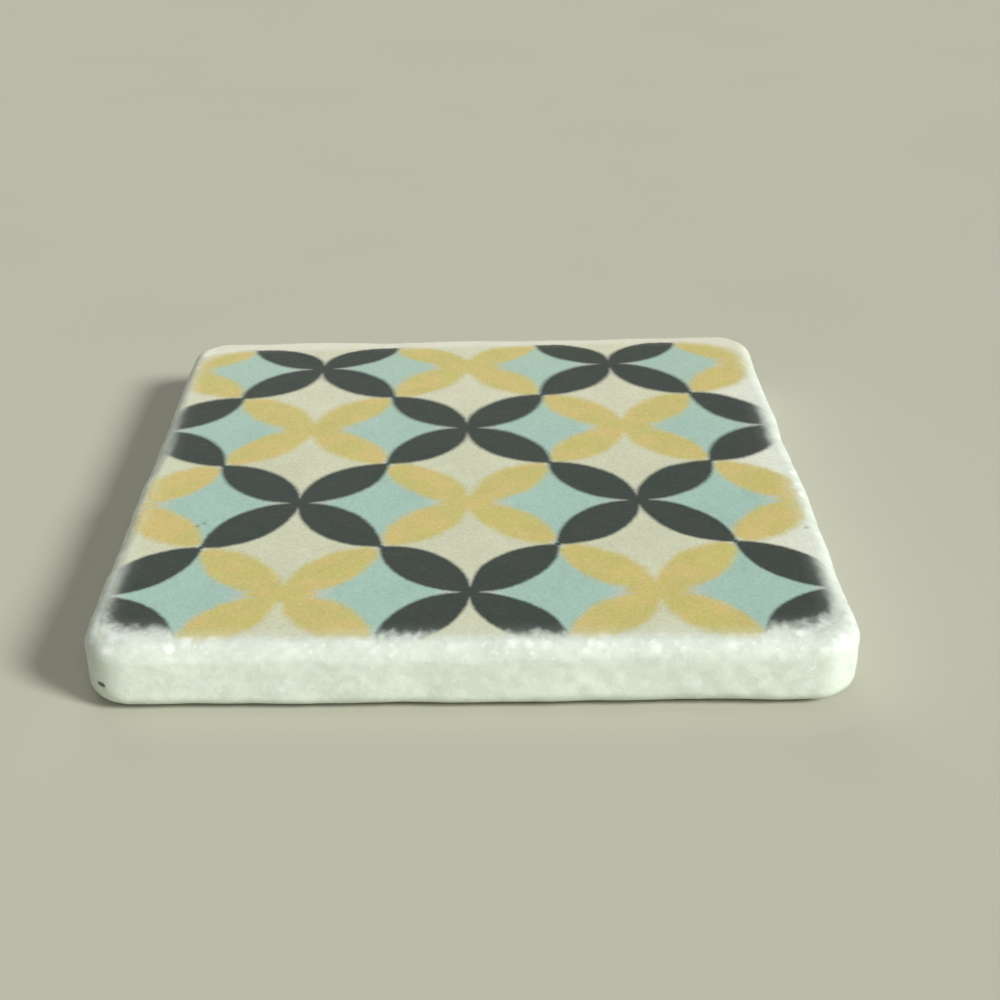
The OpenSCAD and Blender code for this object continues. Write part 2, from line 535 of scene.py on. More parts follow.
def ink_piece(name, node, shapes):
    """One piece of ink from a list of (middle, inside function, points round, rings)."""
    points, faces, total = [], [], 0
    for middle, inside, count, rings in shapes:
        place = pull_inside(middle, inside)
        if place is None:
            continue
        island_points, island_faces = ink_island(place, inside, count, rings)
        faces += [face_set + total for face_set in island_faces]
        total += len(island_points)
        points.append(island_points)
    print(name, "has", len(points), "islands")
    return make_piece(name, np.concatenate(points), faces, [node])


# %% [markdown]
# Stars of cream ink stand in front of and behind each crossing, and stars of aqua ink to its left
# and right. The points of a star end at the spots of ink where petals meet.

# %% Stars of cream and aqua ink
star_points, star_rings = 128, 22
slants = [(-1, -1), (-1, 1), (1, -1), (1, 1)]
steps = [(-1, 0), (1, 0), (0, -1), (0, 1)]
numbers_across = range(-5, 6)


def star(middle):
    """A circle less its four slanting neighbours and the four spots at its points."""
    def inside(place):
        value = np.minimum(in_circle(place, middle), in_film(place))
        for across, back in slants:
            value = np.minimum(value, -in_circle(place, (middle[0] + across, middle[1] + back)))
        for across, back in steps:
            spot = (middle[0] + across, middle[1] + back)
            value = np.minimum(value, -in_circle(place, spot, spot_radius(spot)))
        return value
    return middle, inside, star_points, star_rings


places = [(across, back) for across in numbers_across for back in numbers_across]
cream_places = [place for place in places if place[0] % 2 == 0 and place[1] % 2 == 1]
aqua_places = [place for place in places if place[0] % 2 == 1 and place[1] % 2 == 0]
cream_shapes = [star(place) for place in cream_places]
aqua_shapes = [star(place) for place in aqua_places]
cream_print = ink_piece("cream_print", "cream_stars", cream_shapes)
aqua_print = ink_piece("aqua_print", "aqua_stars", aqua_shapes)

# %% [markdown]
# Petals of charcoal and mustard ink take turns: the crossings are like the squares of a chessboard.
# Between the crossings, where two dark and two light tips meet, the spot is dark.

# %% Petals of mustard and charcoal ink
petal_points, petal_rings = 112, 14
spot_points, spot_rings = 48, 6


def petal(crossing, slant):
    """The overlap of two circles beside a crossing, less the spots at its two tips."""
    tip = (crossing[0] + slant[0], crossing[1] + slant[1])

    def inside(place):
        value = in_circle(place, (tip[0], crossing[1]))
        value = np.minimum(value, in_circle(place, (crossing[0], tip[1])))
        for spot in (crossing, tip):
            value = np.minimum(value, -in_circle(place, spot, spot_radius(spot)))
        return np.minimum(value, in_film(place))
    middle = (crossing[0] + slant[0] / 2, crossing[1] + slant[1] / 2)
    return middle, inside, petal_points, petal_rings


def spot_of_ink(middle):
    """The round spot where the tips of petals meet."""
    def inside(place):
        return np.minimum(in_circle(place, middle, spot_radius(middle)), in_film(place))
    return middle, inside, spot_points, spot_rings


crossings = [place for place in places if place[0] % 2 == 0 and place[1] % 2 == 0]
dark_crossings = [place for place in crossings if sum(place) % 4 == 0]
light_crossings = [place for place in crossings if sum(place) % 4 == 2]
mixed_tips = [place for place in places if place[0] % 2 == 1 and place[1] % 2 == 1]
light_shapes = [petal(place, slant) for place in light_crossings for slant in slants]
light_shapes += [spot_of_ink(place) for place in light_crossings]
dark_shapes = [petal(place, slant) for place in dark_crossings for slant in slants]
dark_shapes += [spot_of_ink(place) for place in dark_crossings + mixed_tips]
mustard_print = ink_piece("mustard_print", "mustard_petals", light_shapes)
charcoal_print = ink_piece("charcoal_print", "charcoal_petals", dark_shapes)

# %% [markdown]
# ## The cork pads
#
# A pad is a dot punched from a sheet of pressed cork granules. Its faces are flat, its cut rim is
# crumbly, and its lower rim is pressed a little round. It is drawn as rings of one profile turned
# round its middle, and the rim is roughened with waves as small as the granules.

# %% Four cork pads
pad_points_round = 180
pad_face_rings, pad_rim_rings = 13, 4
pressed_share = 0.3
crumbly_width, crumb_height, chip_depth = 1.0, 0.05, 0.04


def cork_pad(side):
    """One pad in the place of its CAD node: a profile of radius and height turned round."""
    low, high = node_box("cork_pad_" + side)
    middle = (low + high) / 2
    pad_r, pad_h = (high[0] - low[0]) / 2, high[2] - low[2]
    round_r = pressed_share * pad_h
    turn = np.linspace(0, np.pi / 2, pad_rim_rings + 1)
    radius = np.concatenate([
        np.linspace(0, pad_r - round_r, pad_face_rings + 1)[1:],
        pad_r - round_r + round_r * np.sin(turn)[1:],
        np.full(pad_rim_rings, pad_r),
        np.linspace(pad_r, 0, pad_face_rings + 2)[1:-1],
    ])
    height = np.concatenate([
        np.zeros(pad_face_rings),
        round_r * (1 - np.cos(turn))[1:],
        np.linspace(round_r, pad_h, pad_rim_rings + 1)[1:],
        np.full(pad_face_rings, pad_h),
    ])
    angle = np.linspace(0, 2 * np.pi, pad_points_round, endpoint=False)
    flat = radius[:, None, None] * np.stack([np.cos(angle), np.sin(angle)], axis=-1)
    level = np.broadcast_to(height[:, None, None] + low[2], flat.shape[:2] + (1,))
    shell = np.concatenate([flat + middle[:2], level], axis=-1)
    rim = np.clip((radius - (pad_r - crumbly_width)) / crumbly_width, 0, 1) ** 2
    crumbs = waves(shell, size=1.1, seed=51)
    chips = np.minimum(waves(shell, size=2.2, seed=52), 0)
    rough = rim[:, None] * (crumb_height * crumbs + chip_depth * chips - crumb_height)
    shell[..., :2] += flat / pad_r * rough[..., None]
    poles = np.array([[middle[0], middle[1], low[2]], [middle[0], middle[1], high[2]]])
    numbers = np.arange(shell.shape[0] * pad_points_round).reshape(-1, pad_points_round)
    numbers = np.column_stack([numbers, numbers[:, 0]])
    lower, upper = numbers.max() + 1, numbers.max() + 2
    faces = [grid_faces(numbers), fan_faces(lower, numbers[0, ::-1]), fan_faces(upper, numbers[-1])]
    points = np.concatenate([shell.reshape(-1, 3), poles])
    return make_piece("cork_" + side, points, faces, ["cork_pad_" + side])


pad_sides = ["front_left", "front_right", "rear_left", "rear_right"]
cork_pads = [cork_pad(side) for side in pad_sides]

# %% [markdown]
# ## Materials
#
# A material is a small network of nodes, and most of its nodes do a sum each. Node by node such a
# formula is hard to read. So what leaves a node is kept here as a wire, and the signs + - * and /
# between wires and numbers add a Math node each: a formula then reads like a formula. Python calls
# a function of the wire for each sign, and the one that starts with r where a number stands first.

# %% Wires that stand in formulas
class Wire:
    """What leaves a node by one of its sockets."""
    def __init__(self, socket):
        self.socket, self.tree = socket, socket.id_data

    def __add__(self, other):
        return calc("ADD", self, other)

    def __radd__(self, other):
        return calc("ADD", other, self)

    def __sub__(self, other):
        return calc("SUBTRACT", self, other)

    def __rsub__(self, other):
        return calc("SUBTRACT", other, self)

    def __mul__(self, other):
        return calc("MULTIPLY", self, other)

    def __rmul__(self, other):
        return calc("MULTIPLY", other, self)

    def __truediv__(self, other):
        return calc("DIVIDE", self, other)

    def __neg__(self):
        return calc("MULTIPLY", self, -1.0)

    def __abs__(self):
        return calc("ABSOLUTE", self)


# %% [markdown]
# Every other helper rests on these: one fills the inputs of a node, one adds a node, and one does
# both and gives back the wire that leaves it.

# %% Add nodes and join them
def set_inputs(node, values):
    """Gives a node its values by name or number: a wire is joined, and anything else is set."""
    for name, value in values.items():
        if isinstance(value, Wire):
            node.id_data.links.new(value.socket, node.inputs[name])
        else:
            node.inputs[name].default_value = value


def add_node(tree, kind, values=None, **options):
    """A node of that kind, with its own options set and its inputs given their values."""
    node = tree.nodes.new(kind)
    for name, option in options.items():
        setattr(node, name, option)
    set_inputs(node, values or {})
    return node


def wires(node):
    """All wires that leave a node, by name."""
    return {socket.name: Wire(socket) for socket in node.outputs}


def wire_from(kind, values, output=0, **options):
    """The wire that leaves a new node, placed in the tree of the first wire among its values."""
    tree = next(value.tree for value in values.values() if isinstance(value, Wire))
    return Wire(add_node(tree, kind, values, **options).outputs[output])


# %% [markdown]
# The kinds of node that are used again and again get a short helper each. Most work on numbers,
# and a few on places and colours, which are three numbers each.

# %% Sums and soft steps
def calc(operation, *values):
    """A sum on numbers and wires, such as MAXIMUM or FLOOR."""
    return wire_from("ShaderNodeMath", dict(enumerate(values)), operation=operation)


def larger(first, second):
    """The larger of two numbers."""
    return calc("MAXIMUM", first, second)


def soft_step(value, start, end):
    """0 up to start, 1 from end on, and a smooth slope between them."""
    values = {"Value": value, "From Min": start, "From Max": end}
    return wire_from("ShaderNodeMapRange", values, interpolation_type="SMOOTHSTEP")


def near(distance, inner, outer):
    """1 nearer than inner, 0 further than outer and a smooth slope between."""
    return 1.0 - soft_step(distance, inner, outer)


# %% Places and colours
def vector_calc(operation, *values, output="Vector"):
    """A sum on places, or on colours taken as places."""
    return wire_from("ShaderNodeVectorMath", dict(enumerate(values)), output, operation=operation)


def scaled(place, factor):
    """A place or colour with its three numbers multiplied by the factor."""
    return wire_from("ShaderNodeVectorMath", {0: place, "Scale": factor}, operation="SCALE")


def split(place):
    """The three numbers of a place: across, back and up."""
    return list(wires(add_node(place.tree, "ShaderNodeSeparateXYZ", {0: place})).values())


def blend(share, first, second):
    """Mixes two colours: the first where share is 0 and the second where it is 1."""
    return wire_from("ShaderNodeMix", {0: share, 6: first, 7: second}, 2, data_type="RGBA")


def noise(place, size, detail=2.0, roughness=0.5, output="Fac"):
    """Soft noise about 0.5 whose blotches are about size millimetres wide."""
    values = {"Vector": place, "Scale": 1 / size, "Detail": detail, "Roughness": roughness}
    return wire_from("ShaderNodeTexNoise", values, output)


def colour(red, green, blue):
    """A colour given as it looks on a screen, from 0 to 255, turned into light."""
    parts = np.array([red, green, blue]) / 255
    light = np.where(parts <= 0.04045, parts / 12.92, ((parts + 0.055) / 1.055) ** 2.4)
    return (*light.tolist(), 1.0)


print("A middle grey on the screen is light of", round(colour(128, 128, 128)[0], 3))

# %% [markdown]
# An effect that several materials share is a node group: a network with named inputs and outputs,
# built once and placed in each material with that material's own values.

# %% Node groups
def new_group(name, inputs, outputs):
    """An empty node group and the wires from its inputs. Inputs and outputs are (name, kind) pairs,
    and an input may have a default."""
    group = bpy.data.node_groups.new(name, "ShaderNodeTree")
    for in_out, sockets in (("INPUT", inputs), ("OUTPUT", outputs)):
        for socket_name, kind, *default in sockets:
            socket_type = "NodeSocket" + kind
            socket = group.interface.new_socket(socket_name, in_out=in_out, socket_type=socket_type)
            if default:
                socket.default_value = default[0]
    return group, wires(group.nodes.new("NodeGroupInput"))


def finish_group(group, results):
    """Joins the results, a dictionary of wires, to the outputs of a group."""
    set_inputs(group.nodes.new("NodeGroupOutput"), results)
    print("Group", group.name, "has", len(group.nodes), "nodes")


def place_group(group, values):
    """A group placed in the material of its Place wire. Returns its wires by name."""
    return wires(add_node(values["Place"].tree, "ShaderNodeGroup", values, node_tree=group))


# %% [markdown]
# White marble is a mass of crystals, each about as large as a grain of sugar. Tumbling leaves it
# satin. Seen close, each crystal has its own slight shade, and broad faint clouds run through the
# whole. Where the worn upper edge is lit most brightly, its colour is painted duller, which is
# painted shade, and more single crystals are painted white: partly the stone's own bright crystals
# and partly painted glints. Cells whose borders are soft and bent by noise give the crystals, and
# layers of soft noise give the clouds. The group works in millimetres, and one of its inputs says
# how much of this painted shade and how many of these painted glints a place gets.

# %% Crystals of marble
crystal_size, sugar_size = 1.15, 0.4
marble_grain, given = new_group("marble_grain", [
    ("Place", "Vector"),
    ("Pale", "Color", colour(230, 239, 225)),
    ("Cloud", "Color", colour(220, 231, 216)),
    ("Bruises", "Float"),
], [("Color", "Color"), ("Roughness", "Float"), ("Height", "Float")])


def bend(place, size, amount):
    """The place, moved by smooth noise about size wide by up to half of amount."""
    centred = vector_calc("SUBTRACT", noise(place, size, output="Color"), (0.5, 0.5, 0.5))
    return vector_calc("ADD", place, scaled(centred, amount))


def cells(place, size, values=None, **options):
    """Cells about size wide, one round each of many scattered points: all wires of that node."""
    values = {"Vector": place, "Scale": 1 / size, **(values or {})}
    return wires(add_node(place.tree, "ShaderNodeTexVoronoi", values, **options))


def random_number(cell, part):
    """A number for each cell, taken from one part of its random colour."""
    return wire_from("ShaderNodeSeparateColor", {"Color": cell["Color"]}, part)


bent = bend(given["Place"], 0.8, 1.2)
soft_borders = {"values": {"Smoothness": 0.5}, "feature": "SMOOTH_F1"}
crystal = random_number(cells(bent, crystal_size, **soft_borders), "Red")
sugar_cells = cells(bent, sugar_size, **soft_borders)
sugar = random_number(sugar_cells, "Red")
cloud = noise(given["Place"], 8.0, 4.0, 0.6)
mist = noise(given["Place"], 2.0, 3.0, 0.55)
print("Crystals are", crystal_size, "mm wide, and the finest grain is", sugar_size, "mm")

# %% Colour and relief of marble
bright_size, fine_size = 1.7, 0.7
glint = colour(247, 252, 245)
lively = 0.08 * crystal + 0.03 * sugar + 0.945
# This input dulls the colour: painted shade where the upper edge is lit most brightly.
shade = lively * (1.0 - 0.34 * given["Bruises"])
body = blend(soft_step(0.55 * cloud + 0.45 * mist, 0.38, 0.62), given["Pale"], given["Cloud"])
crowding = 1.2 * cloud + given["Bruises"] - 0.66
jumbled = bend(given["Place"], 0.5, 0.9)


def bright_crystals(size, part):
    """Single bright crystals about size wide, partly the stone's own and partly painted glints: 1 in
    their middles, and more where they crowd.
    """
    cell = cells(jumbled, size)
    chosen = soft_step(random_number(cell, part) + crowding, 0.85, 1.15)
    return near(cell["Distance"], 0.0, 0.75) * chosen


# The white crystals are partly the marble's own and partly painted glints, most of all on the upper
# edge.
fine_crystals = 0.5 * bright_crystals(fine_size, "Blue")
white = 0.95 * larger(bright_crystals(bright_size, "Green"), fine_crystals)
finish_group(marble_grain, {
    "Color": blend(white, scaled(body, shade), glint),
    "Roughness": 0.45 + 0.14 * sugar - 0.2 * white,
    "Height": mist + 0.35 * crystal - 0.35 * sugar_cells["Distance"],
})

# %% [markdown]
# ### The inks
#
# One group works out the whole print from the place on the tile, so that all four films agree
# where they meet and their soft borders run on from one to the next. First the place is brought
# onto the pattern: noise moves it a little, which makes the borders uneven, the lean and the
# crowding at the rear are taken out, and a Mapping node takes out the turn and makes one pitch of
# the pattern 1.

# %% Bring a place onto the pattern
def squared_beyond(value, start, size):
    """How far a value is beyond start, counted in size and squared; 0 before start."""
    way = larger((value - start) / size, 0.0)
    return way * way


def uncrowd(place):
    """The place with the lean taken out, and then the crowding at the rear: way plus crowd times
    way squared."""
    across, back, up = split(place)
    leaning = (lean_slope * across + lean_shift) * squared_beyond(back, lean_start, lean_length)
    upright = back - leaning
    whole = upright + crowd * squared_beyond(upright, crowd_start, 1.0)
    return wire_from("ShaderNodeCombineXYZ", {"X": across, "Y": whole, "Z": up})


circle_print, given = new_group("circle_print", [
    ("Place", "Vector"),
    ("Cream", "Color"),
    ("Aqua", "Color"),
    ("Mustard", "Color"),
    ("Charcoal", "Color"),
    ("Tip", "Color"),
    ("Dark Softness", "Float"),
    ("Light Softness", "Float"),
], [("Color", "Color"), ("Dark", "Float")])
slant_length = pitch / math.sqrt(2)
uneven = bend(bend(given["Place"], 13.0, 1.1), 0.7, 0.35)
on_pattern = wire_from("ShaderNodeMapping", {
    "Vector": uncrowd(uneven),
    "Location": (*pattern_middle, 0),
    "Rotation": (0, 0, pattern_turn),
    "Scale": (pitch, pitch, pitch),
}, vector_type="TEXTURE")
pattern_across, pattern_back, _ = split(on_pattern)
rise, fall = pattern_across + pattern_back, pattern_across - pattern_back
print("One slanting cell is", round(slant_length, 2), "mm wide")

# %% [markdown]
# The pattern repeats along its diagonals, so two slanting coordinates are counted: rise and fall,
# each 1 wider at every diagonal line. The crossings and the tips of petals lie where both are whole
# numbers. Folding both into the distance from the middle of a cell leaves one circle to reckon
# with, whose middle is one cell further on: inside it lies a petal. Petals on even lines are dark
# and those on odd lines are light. The light inks have run a little, so noise moves their borders.

# %% Fold the pattern into one cell
def hypotenuse(first, second):
    """Square root of the sum of two squares."""
    return calc("SQRT", first * first + second * second)


def fold(count):
    """Distance from the middle of the cell along one slanting coordinate, from 0 to a half."""
    return abs(calc("FRACT", count) - 0.5)


def to_odd(count):
    """Way from the nearest odd line along one slanting coordinate, from -1 to 1."""
    half = (count - 1.0) * 0.5
    return (half - calc("FLOOR", half + 0.5)) * 2.0


def petal_depth(toward, beside):
    """How deep in a petal a place is, in millimetres: the radius of the circle, less the distance
    from its middle."""
    return (math.sqrt(0.5) - hypotenuse(1.0 - toward, beside)) * slant_length


rise_depth = petal_depth(fold(rise), fold(fall))
fall_depth = petal_depth(fold(fall), fold(rise))
rise_way, fall_way = to_odd(rise), to_odd(fall)
rise_far, fall_far = abs(rise_way), abs(fall_way)
rise_near, fall_near = 1.0 - rise_far, 1.0 - fall_far
rise_odd, fall_odd = calc("LESS_THAN", rise_far, 0.5), calc("LESS_THAN", fall_far, 0.5)
print("Folding the pattern took", len(circle_print.nodes), "nodes")

# %% How far away crossings and tips are
to_light = hypotenuse(rise_far, fall_far) * slant_length
to_dark = hypotenuse(rise_near, fall_near) * slant_length
nearest_mixed = calc("MINIMUM", hypotenuse(rise_far, fall_near), hypotenuse(rise_near, fall_far))
to_mixed = nearest_mixed * slant_length
across_way = (rise_way + fall_way) * half_pitch
back_way = (rise_way - fall_way) * half_pitch
print("With these distances there are", len(circle_print.nodes), "nodes")

# %% [markdown]
# At a light crossing the four petals run together into a broad X: an eye-shaped spot, wider than it
# is high. Two circles whose overlap has that width and height give it. At a dark crossing and where
# dark and light tips meet there is only a small knot of dark ink, and the light tips fade out a
# little before it.

# %% Which ink lies where
light_gain = 0.05
eye_half_width, eye_half_height = 4.7, 2.3
dark_softness, light_softness = given["Dark Softness"], given["Light Softness"]


def ink_share(depth, gain, softness):
    """1 in the ink and 0 outside, with the soft border moved out by gain."""
    return soft_step(depth + gain, -softness, softness)


dark_gain = 0.8 * dark_softness - 0.22
rise_dark = ink_share(rise_depth, dark_gain, dark_softness) * (1.0 - rise_odd)
fall_dark = ink_share(fall_depth, dark_gain, dark_softness) * (1.0 - fall_odd)
knot_r = 4.3 * dark_softness + 1.1
dark_knots = larger(near(to_dark, 0.35 * knot_r, knot_r), near(to_mixed, 0.15, 0.8))
dark = larger(larger(rise_dark, fall_dark), dark_knots)

run = 1.1 * (noise(given["Place"], 2.4) - 0.5)
rise_light = ink_share(rise_depth + run, light_gain, light_softness) * rise_odd
fall_light = ink_share(fall_depth + run, light_gain, light_softness) * fall_odd
eye_sum = eye_half_width ** 2 / eye_half_height
eye_r, eye_shift = (eye_sum + eye_half_height) / 2, (eye_sum - eye_half_height) / 2
eye_growth = 4.6 * light_softness - 3.9
eye_depth = eye_r + eye_growth + run - hypotenuse(across_way, abs(back_way) + eye_shift)
eye = ink_share(eye_depth, light_gain, light_softness)
light = larger(larger(rise_light, fall_light), eye) * soft_step(to_mixed, 0.4, 1.8)
print("The eye is the overlap of two circles of radius", round(eye_r, 2), "mm")

# %% [markdown]
# A star's own ink follows from whether the two counts of its cell add up to an even number. A star
# isn't of one colour all over: its points fade to a pale grey, most of all beside a dark crossing.

# %% Colour of the print
is_cream = calc("FLOORED_MODULO", calc("FLOOR", rise) + calc("FLOOR", fall), 2.0)
point_size = 1.25 * dark_softness + 0.55
dark_point = 0.92 * near(to_dark / point_size, 1.8, 5.2)
other_points = 0.55 * larger(near(to_light, 4.8, 7.6), near(to_mixed, 0.8, 3.5))
aqua_star = blend(larger(dark_point, other_points), given["Aqua"], given["Tip"])
cream_star = blend(0.7 * dark_point, given["Cream"], given["Tip"])
with_light = blend(light, blend(is_cream, aqua_star, cream_star), given["Mustard"])
finish_group(circle_print, {"Color": blend(dark, with_light, given["Charcoal"]), "Dark": dark})

# %% [markdown]
# The print has been rubbed. It fades out before the worn edges, round at the corners, and it gets
# paler on its last few millimetres. At the front, charcoal is rubbed off further in than the other
# inks, and in short strokes. The group gives the share of ink that is left: it measures how far
# inside the print a place is, moves that with noise that is drawn out from front to back, and turns
# it into a soft step.

# %% How far inside the print a place is
print_end = 49.3
half_width, half_depth = half_tile.tolist()
rubbed_ink, given = new_group("rubbed_ink", [
    ("Place", "Vector"),
    ("Side Margin", "Float"),
    ("Front Margin", "Float"),
    ("Fade", "Float"),
    ("Strokes", "Float"),
    ("Thinning", "Float"),
    ("Corner", "Float"),
], [("Cover", "Float")])


def short_of_round(way):
    """How far a place is from the stretch where the corner's rounding ends."""
    return larger(given["Corner"] - way, 0.0)


across, back, _ = split(given["Place"])
rear_way = print_end - split(uncrowd(given["Place"]))[1]
inside_side = half_width - abs(across) - given["Side Margin"]
inside_long = calc("MINIMUM", back + half_depth - given["Front Margin"], rear_way)
inside = given["Corner"] - hypotenuse(short_of_round(inside_side), short_of_round(inside_long))
print("At the rear the print ends", round(half_depth - print_end, 2), "mm before the side")

# %% Where the ink is rubbed off
stroke_width, stroke_length = 1.3, 2.4
drawn_out = wire_from("ShaderNodeMapping", {
    "Vector": bend(given["Place"], 3.0, 2.0),
    "Scale": (1 / stroke_width, 1 / stroke_length, 0.5),
})
stroke_way = (noise(drawn_out, 1.0, 1.6) - 0.5) * given["Strokes"]
left_over = ink_share(inside, stroke_way, 0.5 * given["Fade"])
thin = soft_step(noise(given["Place"], 0.7, 3.0, 0.6), 0.5, 0.75)
worn = (near(inside, 0.0, 3.0) + 0.3 * thin) * given["Thinning"]
finish_group(rubbed_ink, {"Cover": left_over * (1.0 - worn)})

# %% [markdown]
# The finished materials bring the groups together. The Principled shader itself stays in each
# material, and values that are the same all over are set on its own sockets. Marble lets a little
# light in, so it gets some scattering under its surface, of about a millimetre.

# %% Start a material
satin = {
    "Subsurface Weight": 0.12,
    "Subsurface Radius": (1.0, 1.0, 0.9),
    "Subsurface Scale": 0.8 * MM,
    "Specular IOR Level": 0.25,
}


def new_material(name):
    """A material, its shader and the place on the coaster in millimetres."""
    material = bpy.data.materials.new(name)
    material.use_nodes = True
    tree = material.node_tree
    place = Wire(add_node(tree, "ShaderNodeTexCoord").outputs["Object"])
    return material, tree.nodes["Principled BSDF"], scaled(place, 1 / MM)


def bump(height, depth):
    """A bump whose full height stands for depth in millimetres."""
    values = {"Height": height, "Strength": 1.0, "Distance": depth * MM}
    return wire_from("ShaderNodeBump", values)


def set_material(piece, material):
    """Gives a piece, or a CAD node, one material."""
    piece.data.materials.clear()
    piece.data.materials.append(material)
    print(piece.name, "is made of", material.name)


# %% [markdown]
# The print isn't the same all over: towards the rear its cream and aqua are painted lighter, which
# is painted sheen, and its borders are softer, and at the front and the sides it is rubbed more.
# Soft zones, each from 0 to 1, say where a place lies, and everything that changes over the print is
# a sum of them.

# %% Zones of the print
def print_zones(place):
    """How far a place lies in each zone of the print. The limits are millimetres from the middle."""
    across, back, _ = split(place)
    return {
        "rear": soft_step(back, -10.0, 45.0),
        "blurred": soft_step(back, -42.0, 30.0),
        "front": near(back, -46.0, -38.0),
        "left": near(across, -46.0, -40.0),
        "right": soft_step(across, -20.0, 20.0),
        "right_rim": soft_step(across, 38.0, 45.0),
        "bright_rim": soft_step(across, 35.0, 47.0),
        "aside": soft_step(abs(across), 18.0, 32.0),
    }


# %% [markdown]
# An ink's own colour isn't even either: it is a little deeper here and paler there, and the mustard
# turns towards orange or green in patches.

# %% Colours of the inks
def fresh_print(place, zone, patch):
    """The unrubbed print at a place: its colour, and where it is dark."""
    # Towards the rear the cream and the aqua are lighter: painted sheen.
    cream = blend(zone["rear"], colour(207, 210, 179), colour(213, 213, 184))
    return place_group(circle_print, {
        "Place": place,
        "Cream": blend(zone["bright_rim"], cream, colour(229, 232, 213)),
        "Aqua": blend(zone["rear"], colour(162, 195, 181), colour(168, 196, 179)),
        "Mustard": blend(patch, colour(199, 189, 112), colour(207, 187, 117)),
        "Charcoal": blend(patch, colour(62, 71, 67), colour(65, 71, 64)),
        "Tip": colour(196, 199, 186),
        "Dark Softness": 0.38 + 0.26 * zone["blurred"],
        "Light Softness": 0.85 + 0.25 * zone["rear"],
    })


# %% [markdown]
# How far the ink is rubbed off depends on whether it is dark, so the print's own mask chooses
# between two sets of values: one for the light inks, and one for charcoal.

# %% How much ink is left
def ink_left(place, zone, dark):
    """The share of ink that is left at a place, where dark tells charcoal from the light inks."""
    rubbed_more = larger(zone["front"], larger(zone["left"], 0.6 * zone["right_rim"]))
    light_fade = 1.6 + 2.2 * zone["rear"] * zone["aside"]
    dark_fade = 1.7 + 1.5 * rubbed_more - 0.6 * zone["rear"]
    dark_side = 0.9 * larger(1.0 - zone["rear"], zone["right_rim"])
    return place_group(rubbed_ink, {
        "Place": place,
        "Side Margin": 1.3 + 0.6 * zone["right"] + dark * dark_side,
        "Front Margin": 2.2 + dark * (0.7 + 1.6 * zone["aside"]),
        "Fade": light_fade + dark * (dark_fade - light_fade),
        "Strokes": 1.7 + dark * (2.8 * zone["front"] - 0.9),
        "Thinning": 0.26 - 0.2 * dark,
        "Corner": 4.5 + 1.5 * zone["right"] + 5.0 * zone["rear"],
    })["Cover"]


# %% [markdown]
# A few specks of dirt have got into the print. One helper brings the parts of the print together,
# because the stone under the films is stained in the same colours.

# %% Colour of a printed place
speck_places = [(-39.4, -19.5, 0.45), (-38.5, -18.7, 0.35), (47.5, -20.9, 0.5), (8.2, 21.5, 0.35)]


def printed_colour(place, bare):
    """The colour of the print at a place, worn down to the bare stone's colour, and how much ink is
    left there."""
    zone = print_zones(place)
    patch = soft_step(noise(place, 4.0, 2.0, 0.55), 0.35, 0.65)
    fresh = fresh_print(place, zone, patch)
    cover = ink_left(place, zone, fresh["Dark"])
    fine = 0.75 + 0.5 * noise(place, 0.45, 3.0, 0.7)
    depth = fine * (0.985 + 0.03 * patch)
    for across, back, radius in speck_places:
        way = vector_calc("DISTANCE", place, (across, back, top_z), output="Value")
        depth = depth * (0.6 + 0.4 * soft_step(way * fine, 0.2 * radius, 1.3 * radius))
    return blend(cover, bare, scaled(fresh["Color"], depth)), cover


# %% [markdown]
# The clear coat that takes the inks is slightly yellow. At the rear it reaches over the worn edge,
# which gives the bare stone there the warm colour of the cream ink.

# %% The yellowish coat at the rear
coat_share = 0.85
coat_colour = colour(224, 221, 197)


def coated(place, bare):
    """The bare stone's colour with the coat at the rear of the top on it."""
    _, back, up = split(place)
    coat = soft_step(back, 40.0, 45.0) * soft_step(up, top_z - 2.4, top_z - 0.9)
    return blend(coat_share * coat, bare, coat_colour)


# %% [markdown]
# The bare stone gets painted shade and painted glints on its worn upper edge, where the light falls
# most brightly, and little of them on its sides. Under the films of ink it is stained with the
# print, so that no bare stone shines through where two films meet.

# %% The stone's colour
# How much painted shade and how many painted glints the sides and the upper edge get.
side_shade_glints, edge_shade_glints = 0.03, 0.33
marble, shader, place = new_material("tumbled_marble")
across, back, up = split(place)
edge = soft_step(up, top_z - 2.8, top_z - 0.6)
shade_glints = side_shade_glints + (edge_shade_glints - side_shade_glints) * edge
grain = place_group(marble_grain, {"Place": place, "Bruises": shade_glints})
bare = coated(place, grain["Color"])
on_flat = soft_step(up, top_z - 1.8, top_z - 0.9)
stained = blend(on_flat, bare, printed_colour(place, bare)[0])
print("The colour of the stone takes", len(marble.node_tree.nodes), "nodes")

# %% [markdown]
# Two marks show that the stone is real: a small pit low on its front left corner, whose dark colour
# is painted shade in its hollow, and the fine parallel marks of the saw on its underside, which
# nobody polished.

# %% A pit and the marks of the saw
pit_middle, pit_flatness = (-47.3, -49.5, 4.15), (1.0, 1.0, 2.0)
pit_r, pit_border = 0.48, 0.8
